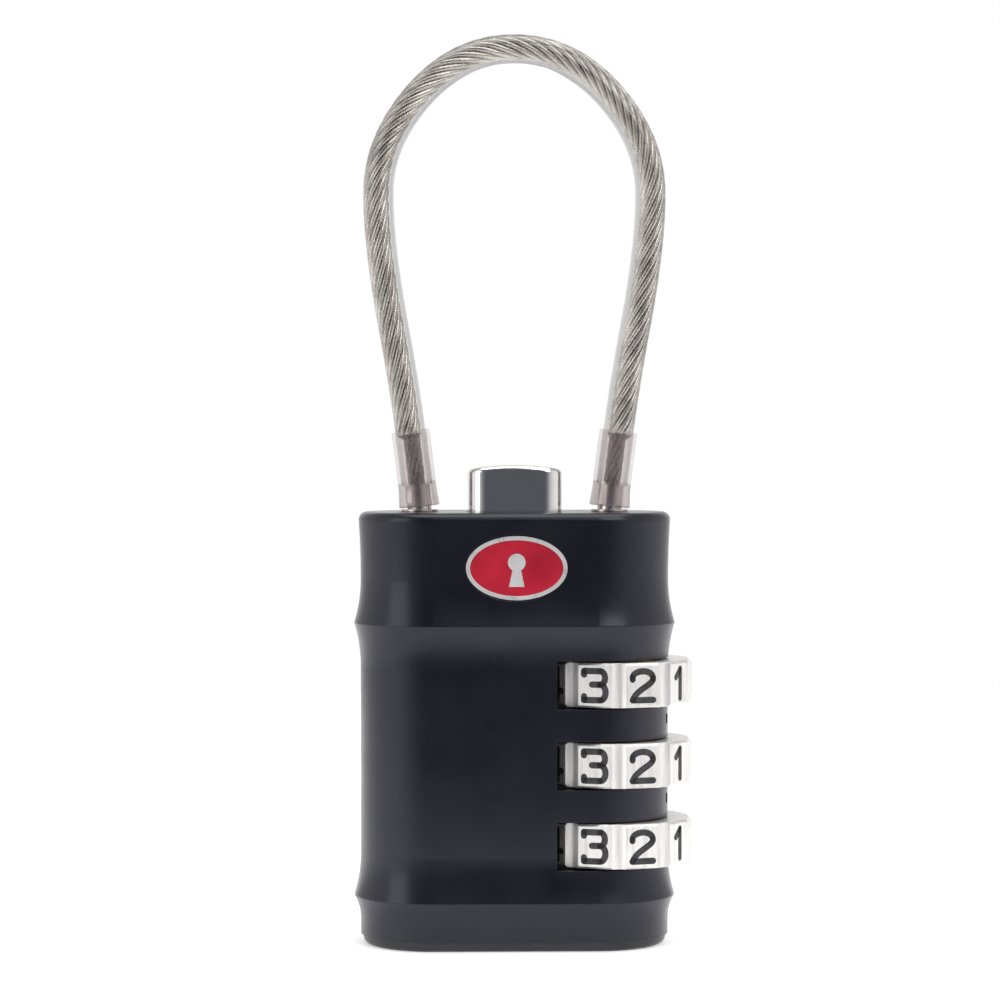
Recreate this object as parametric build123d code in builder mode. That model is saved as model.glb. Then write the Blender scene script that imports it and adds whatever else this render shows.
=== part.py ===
from build123d import *
import os
from math import asin, cos, degrees, hypot, pi, radians, sin, sqrt, tan

os.makedirs("parts", exist_ok=True)

# Cable luggage lock, standing on its base. X runs left to right, the front is -Y, +Z is up.
# The origin is the middle of the flat underside of the bottom cover.

# ---- body
body_width = 30.3  # across the waist, end to end
body_depth = 14.4  # across the waist, front to back
wall = 1.3
foot_height = 7.9  # floor of the lowest dial slot
head_height = 14.3  # from the roof of the top dial slot to the top face
ridge_out = 0.65  # how far the two sharp ridges stand out of the waist
rim_out = 0.25  # how far the top rim stands out of the waist
ridge_low = 4.8  # height of the lower ridge
ridge_high_drop = 10.9  # upper ridge below the top face
ridge_cove = 4.3  # height of the hollow curve beside a ridge
foot_cove = 2.4  # height of the short curve under the lower ridge
ridge_round = 0.15
rim_round = 0.8
roof_thickness = 2.5
socket_roof_thickness = 3.5  # thicker roof over the dial stack, holding the fixed ferrule
cover_thickness = 1.0
cover_inset = 0.25
cover_round = 0.7
spigot_height = 1.5

# ---- dials
dial_count = 3
dial_pitch = 7.8
dial_faces = 10
dial_apothem = 7.5
dial_height = 4.33
dial_side_gap = 0.185  # above and below a dial in its slot
dial_stand_out = 2.2  # how far a dial stands out of the right end of the body
dial_groove_radius = 1.0
dial_groove_width = 1.5
dial_chamfer = 0.22
slot_round_gap = 0.27  # around the corners of a turning dial
slot_edge_x = 3.9  # left edge of the dial windows in the front and the back
index_width = 0.75
index_depth = 0.3
index_height = 0.95
index_rise = 0.25  # above the middle of its rib
index_turn = 15.0  # degrees from the end of the body towards the front

# ---- clutch sleeves, spindle and reset
sleeve_radius = 4.2
sleeve_wall = 0.95
sleeve_gap = 0.05  # between one sleeve and the next
gate_thickness = 1.2
gate_fin_gap = 0.2  # a resting fin above its gate
fin_height = 1.5
fin_width = 1.0
fin_reach = 3.0
tooth_reach = 0.45
tooth_width = 1.2
clutch_thickness = 1.0
spindle_radius = 1.85
running_gap = 0.1
fit_gap = 0.05
button_travel = 2.4
reset_travel = 1.2
stack_spring_length = 2.45
stack_spring_wire = 0.3
guide_web = 1.0
reset_pin_radius = 0.6
reset_pin_recess = 0.6
comb_thickness = 0.25
comb_width = 4.0
tongue_width = 2.4
rivet_radius = 0.5
rivet_head = 0.3

# ---- button and carriage
button_width = 9.2
button_depth = 6.6
button_corner = 1.75
button_stand = 4.57  # button top above the top face
button_crown = 0.4
button_wall = 1.2
button_edge = 0.5
plate_depth = 8.4
plate_thickness = 1.9
arm_thickness = 2.1
arm_depth = 5.2
cheek_thickness = 1.6
cheek_inner = 2.0  # inner face of a cheek from the middle plane
screw_radius = 0.8
screw_head_radius = 1.5
screw_head_height = 0.9
spindle_head_height = 0.55
spindle_head_radius = 1.8
return_spring_radius = 2.1
return_spring_wire = 0.44

# ---- cable, ferrules and latch
ferrule_x = 9.35  # each cable end from the middle of the body
ferrule_radius = 1.6
ferrule_neck = 1.0
ferrule_tail = 1.75  # pin below the latch groove
ferrule_lean = 5.58  # degrees outwards
ferrule_knee = 0.35  # height of the bend above the top face
collar_radius = 1.8
collar_thickness = 0.2
barrel_radius = 1.2
barrel_length = 2.3
rope_radius = 0.85
rope_depth = 1.0  # rope end below the bend
cable_radius = 1.5
cable_sleeve_radius = 1.9
cable_sleeve_foot = 2.0
cable_sleeve_length = 7.6
cable_sleeve_gap = 0.08  # around the cable in its sleeve
free_gap = 0.03
dowel_radius = 0.6
fixed_neck = 1.1
latch_thickness = 1.4
latch_half_width = 1.8
latch_travel = 1.2
latch_pin_radius = 0.5
latch_pin_x = -5.1
latch_relief = 0.6  # room behind the catch wire to bow back
catch_radius = 0.25
catch_half_width = 1.35  # legs of the catch wire from the middle plane
catch_leg = 1.35
catch_bend = 0.35
catch_play = 0.15  # above and below the catch wire in its groove
latch_spring_radius = 0.4
latch_spring_wire = 0.18

# ---- inspector's key cylinder
key_radius = 5.0
key_flange_radius = 5.5
key_length = 22.0
plug_radius = 3.5
plug_gap = 0.05
key_recess = 0.2
keyway_width = 1.1
keyway_depth = 4.6
wafer_count = 7
wafer_pitch = 2.1
wafer_thickness = 0.7
wafer_width = 2.6
wafer_length = 6.2
tail_radius = 0.5
tail_throw = 0.8

# ---- badge
badge_width = 9.8
badge_height = 6.2
badge_drop = 5.3  # badge centre below the top face
badge_thickness = 0.5
badge_rim = 0.4
badge_gap = 0.12
enamel_depth = 0.15
badge_proud = 0.05  # plate in front of the flat of the body

# ---- places that follow from the sizes
end_radius = body_depth / 2
end_x = body_width / 2 - end_radius
slot_height = dial_height + 2 * dial_side_gap
dial_z = [foot_height + slot_height / 2 + dial_pitch * k for k in range(dial_count)]
dial_x = body_width / 2 + dial_stand_out - dial_apothem
dial_corner = dial_apothem / cos(pi / dial_faces)
body_height = dial_z[-1] + slot_height / 2 + head_height
roof_z = body_height - roof_thickness
socket_roof_z = body_height - socket_roof_thickness
cavity_right = dial_x - dial_corner - slot_round_gap - 0.19
tooth_radius = sleeve_radius + tooth_reach
bore_radius = tooth_radius + running_gap
sleeve_top = dial_z[-1] + dial_pitch / 2 - sleeve_gap
bore_top = sleeve_top + sleeve_gap + stack_spring_length
floor_z = bore_top + guide_web  # floor of the chamber over the dial stack
spigot_top = cover_thickness + spigot_height
plate_top = roof_z - running_gap
plate_bottom = plate_top - plate_thickness
arm_top = socket_roof_z - spindle_head_height - 0.45
arm_bottom = arm_top - arm_thickness
arm_right = dial_x + spindle_radius + 0.6
plate_right = 6.4
plate_left = latch_pin_x - latch_pin_radius - fit_gap - 0.85
latch_bottom = floor_z + fit_gap
latch_top = latch_bottom + latch_thickness
latch_pin_z = (latch_bottom + latch_top) / 2
cheek_right = latch_pin_x + latch_travel + latch_pin_radius + fit_gap + 0.75
cheek_bottom = latch_pin_z - latch_pin_radius - fit_gap - 0.75
pocket_bottom = cheek_bottom - button_travel - 0.35
catch_x = -ferrule_x + ferrule_neck + fit_gap + catch_radius
latch_nose = catch_x + catch_bend
key_x = latch_pin_x - 0.5
lug_left = key_x + tail_throw * sin(radians(45)) + tail_radius + fit_gap
lug_right = lug_left + 0.9
frame_right = cavity_right - 0.9
groove_bottom = latch_pin_z - catch_radius - catch_play
groove_top = latch_pin_z + catch_radius + catch_play
ferrule_bottom = groove_bottom - ferrule_tail
knee_z = body_height + ferrule_knee
lean = radians(ferrule_lean)
badge_z = body_height - badge_drop
comb_x = cavity_right - comb_thickness
screw_places = [(cavity_right + 2.1, side * (end_radius - wall - 1.6)) for side in (-1, 1)]
pusher_pin_x = dial_x - (bore_radius - running_gap - reset_pin_radius - 0.1)


def finish(piece, name):
    """Names a finished piece and writes its STEP file."""
    piece.part.label = name
    export_step(piece.part, f"parts/{name}.step")


def cove(z_flat, z_tip, r_flat, r_tip):
    """A hollow arc that leaves a vertical line at z_flat and reaches r_tip at z_tip."""
    rise = z_tip - z_flat
    out = r_tip - r_flat
    radius = (rise**2 + out**2) / (2 * out)
    half = asin(rise / radius) / 2
    middle = (r_flat + radius * (1 - cos(half)), z_flat + radius * sin(half))
    ThreePointArc((r_flat, z_flat), middle, (r_tip, z_tip))


def upright(x, y=0):
    """The upright plane through (x, y), seen from the front, with its origin on the floor."""
    return Plane(origin=(x, y, 0), x_dir=(1, 0, 0), z_dir=(0, -1, 0))


def upright_axis(x, y=0):
    return Axis((x, y, 0), (0, 0, 1))


# ---------------------------------------------------------------- housing
ridge_high = body_height - ridge_high_drop
upper_waist = ridge_high + ridge_cove
ridge_r = end_radius + ridge_out
rim_r = end_radius + rim_out

with BuildSketch() as outline:  # radius of the round end against height
    with BuildLine():
        Polyline((0, body_height), (0, cover_thickness), (end_radius, cover_thickness),
                 (end_radius, ridge_low - foot_cove))
        cove(ridge_low - foot_cove, ridge_low, end_radius, ridge_r)
        cove(ridge_low + ridge_cove, ridge_low, end_radius, ridge_r)
        Line((end_radius, ridge_low + ridge_cove), (end_radius, ridge_high - ridge_cove))
        cove(ridge_high - ridge_cove, ridge_high, end_radius, ridge_r)
        cove(upper_waist, ridge_high, end_radius, ridge_r)
        cove(upper_waist, body_height, end_radius, rim_r)
        Line((rim_r, body_height), (0, body_height))
    make_face()
    fillet(outline.vertices().filter_by(lambda v: v.X > ridge_r - 0.01), radius=ridge_round)
    fillet(outline.vertices().filter_by(lambda v: v.X > end_radius and v.Y > body_height - 0.01),
           radius=rim_round)

with BuildPart() as housing:
    for side in (-1, 1):
        with BuildSketch(upright(side * end_x)):
            add(outline.sketch)
        revolve(axis=upright_axis(side * end_x))
    with BuildSketch(Plane.YZ):
        add(outline.sketch)
        mirror(about=Plane.YZ)
    extrude(amount=end_x, both=True)

    # recess for the bottom cover, then the open left half, then the chamber over the dials
    with BuildSketch(Plane.XY.offset(cover_thickness)):
        SlotOverall(body_width - 2 * wall, body_depth - 2 * wall)
    extrude(amount=spigot_height, mode=Mode.SUBTRACT)
    with BuildSketch(Plane.XY.offset(cover_thickness)):
        SlotOverall(body_width - 2 * wall, body_depth - 2 * wall)
        with Locations((cavity_right, 0)):
            Rectangle(body_width, body_depth, align=(Align.MIN, Align.CENTER), mode=Mode.SUBTRACT)
    extrude(amount=roof_z - cover_thickness, mode=Mode.SUBTRACT)
    with BuildSketch(Plane.XY.offset(floor_z)):
        SlotOverall(body_width - 2 * wall, body_depth - 2 * wall)
    extrude(amount=socket_roof_z - floor_z, mode=Mode.SUBTRACT)
    with BuildSketch(Plane.XY.offset(socket_roof_z - 0.01)):
        with Locations((cavity_right - 0.1, 0)):
            Rectangle(plate_right + 0.2 - cavity_right + 0.1, plate_depth + 0.6,
                      align=(Align.MIN, Align.CENTER))
    extrude(amount=roof_z - socket_roof_z + 0.01, mode=Mode.SUBTRACT)

    # boss round the socket of the free cable end
    with BuildSketch(Plane.XY.offset(latch_top + 0.1)):
        with Locations((-ferrule_x, 0)):
            Circle(ferrule_radius + 1.1)
    extrude(amount=roof_z - latch_top - 0.1)
    with BuildSketch(Plane.XY.offset(latch_top)):
        with Locations((-ferrule_x, 0)):
            Circle(ferrule_radius + fit_gap)
    extrude(amount=body_height - latch_top, mode=Mode.SUBTRACT)

    # three slots for the dials, open round the right end of the body
    for z in dial_z:
        with BuildSketch(Plane.XY.offset(z - slot_height / 2)):
            with Locations((dial_x, 0)):
                Circle(dial_corner + slot_round_gap)
            with Locations((slot_edge_x, 0)):
                Rectangle(body_width, body_depth + 4, align=(Align.MIN, Align.CENTER))
            with Locations((cavity_right - 0.2, 0)):
                Rectangle(1.5, tongue_width + 0.6, align=(Align.MIN, Align.CENTER))
        extrude(amount=slot_height, mode=Mode.SUBTRACT)

    # bore for the sleeve stack and guide hole for the spindle
    with BuildSketch(Plane.XY.offset(cover_thickness)):
        with Locations((dial_x, 0)):
            Circle(bore_radius)
    extrude(amount=bore_top - cover_thickness, mode=Mode.SUBTRACT)
    with BuildSketch(Plane.XY.offset(bore_top - 0.1)):
        with Locations((dial_x, 0)):
            Circle(spindle_radius + running_gap)
    extrude(amount=guide_web + 0.2, mode=Mode.SUBTRACT)

    # well for the button and socket for the fixed cable end
    with BuildSketch(Plane.XY.offset(socket_roof_z - 0.1)):
        RectangleRounded(button_width + 2 * running_gap, button_depth + 2 * running_gap,
                         button_corner + running_gap)
        with Locations((ferrule_x, 0)):
            Circle(ferrule_radius + fit_gap)
    extrude(amount=socket_roof_thickness + 0.2, mode=Mode.SUBTRACT)

    # cross hole for the dowel that keeps the fixed ferrule
    dowel_z = (socket_roof_z + running_gap + body_height) / 2
    dowel_x = ferrule_x - fixed_neck - fit_gap - dowel_radius
    with BuildSketch(Plane.XZ.offset(1.9)):
        with Locations((dowel_x, dowel_z)):
            Circle(dowel_radius)
    extrude(amount=-(end_radius + 4), mode=Mode.SUBTRACT)

    # pocket for the badge
    with BuildSketch(Plane.XZ.offset(end_radius - badge_thickness + badge_proud)):
        with Locations((0, badge_z)):
            Ellipse(badge_width / 2 + badge_gap, badge_height / 2 + badge_gap)
    extrude(amount=3, mode=Mode.SUBTRACT)

    # tapped holes for the cover screws, rivet holes for the leaf spring
    with BuildSketch(Plane.XY.offset(spigot_top - 0.1)):
        with Locations(*screw_places):
            Circle(screw_radius - 0.1)
    extrude(amount=4.6, mode=Mode.SUBTRACT)
    with BuildSketch(Plane.YZ.offset(cavity_right - 0.1)):
        with Locations(*[(0, z + dial_pitch / 2) for z in dial_z[:-1]]):
            Circle(rivet_radius)
    extrude(amount=1.7, mode=Mode.SUBTRACT)

    # index marks on the ribs between the dials, beside the end of the body
    for z in dial_z[:-1]:
        turn = radians(index_turn)
        face_x = end_x + (end_radius - index_depth) * cos(turn)
        face_y = -(end_radius - index_depth) * sin(turn)
        mark = Plane(origin=(face_x, face_y, z + dial_pitch / 2 + index_rise),
                     x_dir=(sin(turn), cos(turn), 0), z_dir=(cos(turn), -sin(turn), 0))
        with BuildSketch(mark):
            Rectangle(index_width, index_height)
        extrude(amount=2, mode=Mode.SUBTRACT)
finish(housing, "housing_shell")

# ---------------------------------------------------------------- bottom cover
with BuildPart() as cover:
    with BuildSketch():
        SlotOverall(body_width - 2 * cover_inset, body_depth - 2 * cover_inset)
    extrude(amount=cover_thickness)
    fillet(cover.edges().group_by(Axis.Z)[0], radius=cover_round)
    with BuildSketch(Plane.XY.offset(cover_thickness)):
        SlotOverall(body_width - 2 * (wall + fit_gap), body_depth - 2 * (wall + fit_gap))
    extrude(amount=spigot_height)
    with BuildSketch():
        with Locations((key_x, 0)):
            Circle(key_radius + fit_gap)
        with Locations((pusher_pin_x, 0)):
            Circle(reset_pin_radius + 0.15)
    extrude(amount=spigot_top, mode=Mode.SUBTRACT)
    for x, y in screw_places:
        with BuildSketch(upright(x, y)):
            with BuildLine():
                Polyline((0, -0.1), (1.6, -0.1), (screw_radius, 0.7), (screw_radius, 3), (0, 3), (0, -0.1))
            make_face()
        revolve(axis=upright_axis(x, y), mode=Mode.SUBTRACT)
finish(cover, "bottom_cover")

with BuildPart() as cover_screws:
    for x, y in screw_places:
        with BuildSketch(upright(x, y)):
            with BuildLine():
                Polyline((0, 0.15), (1.35, 0.15), (screw_radius - 0.1, 0.8),
                         (screw_radius - 0.1, spigot_top + 4), (0, spigot_top + 4), (0, 0.15))
            make_face()
        revolve(axis=upright_axis(x, y))
    with BuildSketch(Plane.XY.offset(0.15)):
        for x, y in screw_places:
            with Locations((x, y)):
                Rectangle(1.7, 0.35)
                Rectangle(0.35, 1.7)
    extrude(amount=0.3, mode=Mode.SUBTRACT)
finish(cover_screws, "cover_screws")

# ---------------------------------------------------------------- badge
with BuildPart() as badge:
    with BuildSketch(Plane.XZ.offset(end_radius - badge_thickness + badge_proud)):
        with Locations((0, badge_z)):
            Ellipse(badge_width / 2, badge_height / 2)
    extrude(amount=badge_thickness)
    with BuildSketch(Plane.XZ.offset(end_radius + badge_proud - enamel_depth)):
        with Locations((0, badge_z)):
            Ellipse(badge_width / 2 - badge_rim, badge_height / 2 - badge_rim)
        with Locations((0, badge_z + 0.55)):
            Circle(0.85, mode=Mode.SUBTRACT)
        with Locations((0, badge_z - 0.75)):
            Trapezoid(1.5, 2.1, 78, mode=Mode.SUBTRACT)
    extrude(amount=1, mode=Mode.SUBTRACT)
finish(badge, "badge_plate")

with BuildPart() as enamel:
    with BuildSketch(Plane.XZ.offset(end_radius + badge_proud - enamel_depth)):
        with Locations((0, badge_z)):
            Ellipse(badge_width / 2 - badge_rim, badge_height / 2 - badge_rim)
        with Locations((0, badge_z + 0.55)):
            Circle(0.85, mode=Mode.SUBTRACT)
        with Locations((0, badge_z - 0.75)):
            Trapezoid(1.5, 2.1, 78, mode=Mode.SUBTRACT)
    extrude(amount=enamel_depth - 0.03)
finish(enamel, "badge_enamel")

# ---------------------------------------------------------------- dials and their sleeves
dial_names = ["bottom", "middle", "top"]
groove_half = dial_groove_width / 2  # half the opening of a groove, across its corner
flat_half = dial_apothem * tan(pi / dial_faces) - groove_half / cos(pi / dial_faces)
lip_reach = hypot(dial_apothem, flat_half)
lip_turn = pi / dial_faces - asin(flat_half / lip_reach)
groove_centre = lip_reach * cos(lip_turn) + sqrt(dial_groove_radius**2 - groove_half**2)

for name, z in zip(dial_names, dial_z):
    bottom = z - dial_height / 2
    with BuildPart() as dial:
        with BuildSketch(Plane.XY.offset(bottom)):
            with Locations((dial_x, 0)):
                RegularPolygon(dial_apothem, dial_faces, major_radius=False, rotation=180 / dial_faces)
        extrude(amount=dial_height)
        chamfer(dial.edges().group_by(Axis.Z)[0], length=dial_chamfer)
        chamfer(dial.edges().group_by(Axis.Z)[-1], length=dial_chamfer)
        with BuildSketch(Plane.XY.offset(bottom)):
            with Locations((dial_x, 0)):
                with PolarLocations(groove_centre, dial_faces, start_angle=180 / dial_faces):
                    Circle(dial_groove_radius)
        extrude(amount=dial_height, mode=Mode.SUBTRACT)
        with BuildSketch(Plane.XY.offset(bottom + clutch_thickness)):
            with Locations((dial_x, 0)):
                Circle(bore_radius + fit_gap)
        extrude(amount=dial_height - clutch_thickness, mode=Mode.SUBTRACT)
        with BuildSketch(Plane.XY.offset(bottom)):
            with Locations((dial_x, 0)):
                Circle(sleeve_radius + running_gap)
                with PolarLocations(tooth_radius + fit_gap, dial_faces):
                    Rectangle(1.2, tooth_width + 2 * fit_gap, align=(Align.MAX, Align.CENTER))
        extrude(amount=clutch_thickness, mode=Mode.SUBTRACT)
    finish(dial, f"dial_{name}")

    foot = z - dial_pitch / 2
    with BuildPart() as sleeve:
        with BuildSketch(Plane.XY.offset(foot)):
            with Locations((dial_x, 0)):
                Circle(sleeve_radius)
                Circle(sleeve_radius - sleeve_wall, mode=Mode.SUBTRACT)
        extrude(amount=dial_pitch - sleeve_gap)
        with BuildSketch(Plane.XY.offset(foot)):
            with Locations((dial_x, 0)):
                Circle(sleeve_radius - sleeve_wall / 2)
                Circle(spindle_radius + running_gap, mode=Mode.SUBTRACT)
                Rectangle(fin_reach + running_gap, fin_width + 2 * running_gap,
                          align=(Align.MIN, Align.CENTER), mode=Mode.SUBTRACT)
        extrude(amount=gate_thickness)
        with BuildSketch(Plane.XY.offset(bottom + fit_gap)):
            with Locations((dial_x, 0)):
                with PolarLocations(tooth_radius, dial_faces):
                    Rectangle(tooth_reach + 0.3, tooth_width, align=(Align.MAX, Align.CENTER))
        extrude(amount=clutch_thickness - 2 * fit_gap)
    finish(sleeve, f"sleeve_{name}")

# ---------------------------------------------------------------- spindle
spindle_foot = spigot_top + button_travel + 0.3
with BuildPart() as spindle:
    with BuildSketch(Plane.XY.offset(spindle_foot)):
        with Locations((dial_x, 0)):
            Circle(spindle_radius)
    extrude(amount=arm_bottom - spindle_foot)
    with BuildSketch(Plane.XY.offset(arm_bottom)):
        with Locations((dial_x, 0)):
            Circle(1.2)
    extrude(amount=arm_thickness)
    for z in dial_z:
        with BuildSketch(Plane.XY.offset(z - dial_pitch / 2 + gate_thickness + gate_fin_gap)):
            with Locations((dial_x, 0)):
                Rectangle(fin_reach, fin_width, align=(Align.MIN, Align.CENTER))
        extrude(amount=fin_height)
    with BuildSketch(Plane.XY.offset(arm_top - 5)):
        with Locations((dial_x, 0)):
            Circle(0.6)
    extrude(amount=5, mode=Mode.SUBTRACT)
finish(spindle, "spindle")

with BuildPart() as spindle_screw:
    with BuildSketch(Plane.XY.offset(arm_top)):
        with Locations((dial_x, 0)):
            Circle(spindle_head_radius)
    extrude(amount=spindle_head_height)
    with BuildSketch(Plane.XY.offset(arm_top - 4.5)):
        with Locations((dial_x, 0)):
            Circle(0.6)
    extrude(amount=4.6)
    with BuildSketch(Plane.XY.offset(arm_top + spindle_head_height - 0.25)):
        with Locations((dial_x, 0)):
            Rectangle(3.8, 0.45)
    extrude(amount=0.3, mode=Mode.SUBTRACT)
finish(spindle_screw, "spindle_screw")

# ---------------------------------------------------------------- reset pusher and stack spring
with BuildPart() as pusher:
    with BuildSketch(Plane.XY.offset(spigot_top + fit_gap)):
        with Locations((dial_x, 0)):
            Circle(bore_radius - running_gap)
            Circle(sleeve_radius - sleeve_wall, mode=Mode.SUBTRACT)
    extrude(amount=dial_z[0] - dial_pitch / 2 - spigot_top - 2 * fit_gap)
    with BuildSketch(Plane.XY.offset(reset_pin_recess)):
        with Locations((pusher_pin_x, 0)):
            Circle(reset_pin_radius)
    extrude(amount=spigot_top + 0.5 - reset_pin_recess)
finish(pusher, "reset_pusher")


def coil(radius, wire, height, turns):
    """A round-wire coil spring about the Z axis, from 0 to height, made apart and placed later."""
    rise = height - 2 * wire / 2
    with BuildPart(mode=Mode.PRIVATE) as spring:
        with BuildLine(Plane.XY.offset(wire / 2)) as path:
            Helix(rise / turns, rise, radius)
        with BuildSketch(Plane(origin=path.line @ 0, z_dir=path.line % 0)):
            Circle(wire / 2)
        sweep(is_frenet=True)
    return spring.part


with BuildPart() as stack_spring:
    add(coil(sleeve_radius - sleeve_wall / 2, stack_spring_wire, stack_spring_length - 2 * fit_gap, 3)
        .moved(Location((dial_x, 0, sleeve_top + 2 * fit_gap))))
finish(stack_spring, "stack_spring")

# ---------------------------------------------------------------- detent leaf
comb_bottom = dial_z[0] - 3.7
comb_top = dial_z[-1] + 3.7
with BuildPart() as comb:
    with BuildSketch(Plane.XZ.offset(-comb_width / 2)):
        with Locations((comb_x, comb_bottom)):
            Rectangle(comb_thickness, comb_top - comb_bottom, align=(Align.MIN, Align.MIN))
    extrude(amount=comb_width)
    for z in dial_z:
        with BuildSketch(Plane.XZ.offset(-tongue_width / 2 - 0.1)):
            with Locations((comb_x, z - 1.9)):
                Rectangle(comb_thickness, 4.0, align=(Align.MIN, Align.MIN))
        extrude(amount=tongue_width + 0.2, mode=Mode.SUBTRACT)
    for z in dial_z:
        contact_x = dial_x - dial_apothem - 0.04 - comb_thickness / 2
        middle_x = comb_x + comb_thickness / 2
        with BuildSketch(Plane.XZ.offset(-tongue_width / 2)):
            with BuildLine():
                ThreePointArc((middle_x, z - 1.95), (contact_x, z), (middle_x + 0.35, z + 1.7))
            trace(line_width=comb_thickness)
        extrude(amount=tongue_width)
    with BuildSketch(Plane.YZ.offset(comb_x)):
        with Locations(*[(0, z + dial_pitch / 2) for z in dial_z[:-1]]):
            Circle(rivet_radius)
    extrude(amount=comb_thickness, mode=Mode.SUBTRACT)
finish(comb, "detent_leaf")

with BuildPart() as rivets:
    with BuildSketch(Plane.YZ.offset(comb_x - rivet_head)):
        with Locations(*[(0, z + dial_pitch / 2) for z in dial_z[:-1]]):
            Circle(rivet_radius + 0.4)
    extrude(amount=rivet_head)
    with BuildSketch(Plane.YZ.offset(comb_x - 0.05)):
        with Locations(*[(0, z + dial_pitch / 2) for z in dial_z[:-1]]):
            Circle(rivet_radius)
    extrude(amount=comb_thickness + 1.3)
finish(rivets, "leaf_rivets")

# ---------------------------------------------------------------- button, carriage and springs
with BuildPart() as button:
    with BuildSketch(Plane.XY.offset(plate_top)):
        RectangleRounded(button_width, button_depth, button_corner)
    extrude(amount=body_height + button_stand + 1 - plate_top)
    crown_radius = ((button_width / 2) ** 2 + button_crown**2) / (2 * button_crown)
    with BuildSketch(Plane.XZ.offset(-button_depth)):
        with Locations((0, body_height + button_stand - crown_radius)):
            Circle(crown_radius)
    extrude(amount=2 * button_depth, mode=Mode.INTERSECT)
    fillet(button.faces().sort_by(Axis.Z)[-1].edges(), radius=button_edge)
    with BuildSketch(Plane.XY.offset(plate_top)):
        RectangleRounded(button_width - 2 * button_wall, button_depth - 2 * button_wall, button_corner / 2)
        Circle(screw_radius + 1, mode=Mode.SUBTRACT)
    extrude(amount=body_height + button_stand - button_crown - button_wall - plate_top, mode=Mode.SUBTRACT)
    with BuildSketch(Plane.XY.offset(plate_top)):
        Circle(screw_radius)
    extrude(amount=4.5, mode=Mode.SUBTRACT)
finish(button, "button")

with BuildPart() as button_screw:
    with BuildSketch(Plane.XY.offset(plate_bottom - screw_head_height)):
        Circle(screw_head_radius)
    extrude(amount=screw_head_height)
    with BuildSketch(Plane.XY.offset(plate_bottom - 0.1)):
        Circle(screw_radius)
    extrude(amount=plate_thickness + 4.1)
    with BuildSketch(Plane.XY.offset(plate_bottom - screw_head_height)):
        Rectangle(2.0, 0.4)
        Rectangle(0.4, 2.0)
    extrude(amount=0.4, mode=Mode.SUBTRACT)
finish(button_screw, "button_screw")

with BuildPart() as carriage:
    with BuildSketch(Plane.XY.offset(plate_bottom)):
        with Locations((plate_left, 0)):
            Rectangle(plate_right - plate_left, plate_depth, align=(Align.MIN, Align.CENTER))
    extrude(amount=plate_thickness)
    with BuildSketch(Plane.XZ.offset(-arm_depth / 2)):
        with Locations((plate_right - 2, arm_bottom)):
            Rectangle(2, plate_top - arm_bottom, align=(Align.MIN, Align.MIN))
            Rectangle(arm_right - plate_right + 2, arm_thickness, align=(Align.MIN, Align.MIN))
    extrude(amount=arm_depth)
    fillet(carriage.edges().filter_by(Axis.Z).sort_by(Axis.X)[-2:], radius=1.2)
    for side in (-1, 1):
        inner = Plane.XZ.offset(side * (cheek_inner + cheek_thickness / 2) - cheek_thickness / 2)
        with BuildSketch(inner):
            with Locations((plate_left, cheek_bottom)):
                Rectangle(cheek_right - plate_left, plate_bottom - cheek_bottom + 0.1,
                          align=(Align.MIN, Align.MIN))
        extrude(amount=cheek_thickness)
    # the ramp window: its left flank leans by half the button's travel, its right side leaves the
    # pin free to be drawn back by the key
    with BuildSketch(Plane.XZ.offset(-plate_depth)):
        with Locations((latch_pin_x, latch_pin_z), (latch_pin_x + latch_travel, latch_pin_z),
                       (latch_pin_x + latch_travel, latch_pin_z + button_travel)):
            Circle(latch_pin_radius + fit_gap)
        make_hull()
    extrude(amount=2 * plate_depth, mode=Mode.SUBTRACT)
    with BuildSketch(Plane.XY.offset(arm_bottom)):
        Circle(screw_radius)
        with Locations((dial_x, 0)):
            Circle(1.2)
    extrude(amount=plate_top - arm_bottom, mode=Mode.SUBTRACT)
finish(carriage, "carriage")

with BuildPart() as return_spring:
    add(coil(return_spring_radius, return_spring_wire, plate_bottom - floor_z - 2 * fit_gap, 4)
        .moved(Location((0, 0, floor_z + fit_gap))))
finish(return_spring, "return_spring")

# ---------------------------------------------------------------- latch
with BuildPart() as latch:
    with BuildSketch(Plane.XY.offset(latch_bottom)):
        with Locations((latch_nose, 0)):
            Rectangle(lug_right - latch_nose, 2 * latch_half_width, align=(Align.MIN, Align.CENTER))
            Rectangle(catch_x + catch_radius + latch_relief - latch_nose,
                      2 * (catch_half_width - catch_radius - 0.1),
                      align=(Align.MIN, Align.CENTER), mode=Mode.SUBTRACT)
    extrude(amount=latch_thickness)
    with BuildSketch(Plane.YZ.offset(latch_nose - 0.1)):
        with Locations((catch_half_width, latch_pin_z), (-catch_half_width, latch_pin_z)):
            Circle(catch_radius + free_gap)
    extrude(amount=catch_leg + 0.1, mode=Mode.SUBTRACT)
    with BuildSketch(Plane.XY.offset(latch_bottom - 1.55)):
        with Locations((lug_left, 0)):
            Rectangle(lug_right - lug_left, 2.4, align=(Align.MIN, Align.CENTER))
    extrude(amount=1.6)
    pin_half = cheek_inner + cheek_thickness + 1.6
    with BuildSketch(Plane.XZ.offset(-pin_half)):
        with Locations((latch_pin_x, latch_pin_z)):
            Circle(latch_pin_radius)
    extrude(amount=2 * pin_half)
finish(latch, "latch_bolt")

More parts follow.
